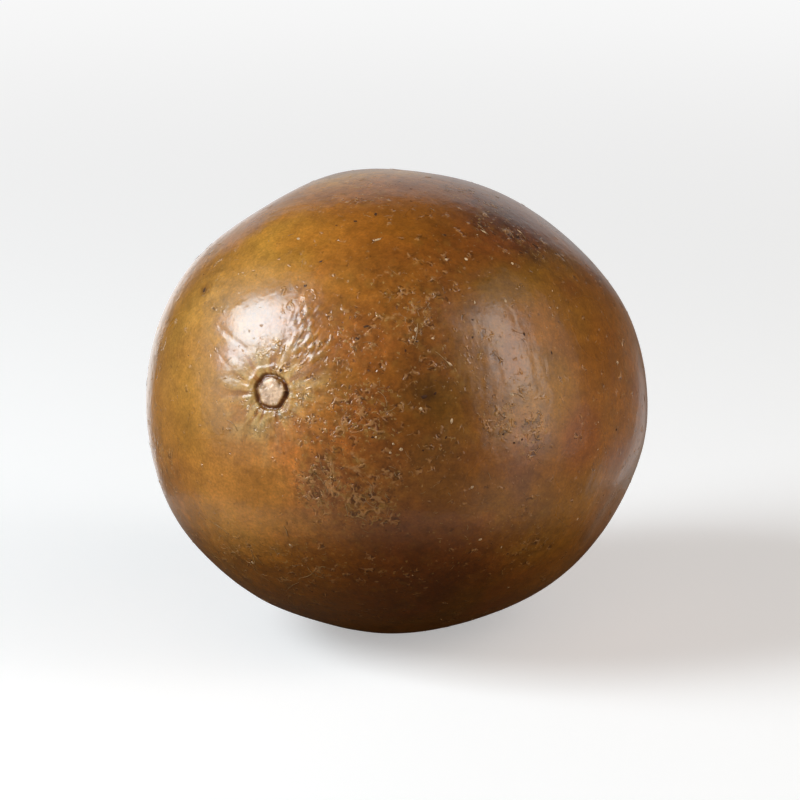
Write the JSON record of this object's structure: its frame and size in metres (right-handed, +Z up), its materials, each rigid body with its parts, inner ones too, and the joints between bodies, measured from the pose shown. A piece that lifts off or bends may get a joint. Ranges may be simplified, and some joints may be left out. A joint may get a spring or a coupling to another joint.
{
  "type": "dried monk fruit",
  "caption": "Whole dried monk fruit, a slightly egg-shaped brown gourd with a cut stalk scar, lying on a small flat spot; a food prop or display fruit.",
  "frame": {"origin": "bottom centre of the fruit's box, on the surface that it rests on", "axes": "+Z up; +Y along the fruit's length, from the stalk end to the flower end, with the stalk end raised; +X across the fruit"},
  "size_m": [0.0582, 0.0648, 0.0563],
  "materials": {
    "rind": "satin, thin hard dried rind"
  },
  "bodies": {
    "root": {"monk_fruit": "rind"}
  },
  "joints": []
}
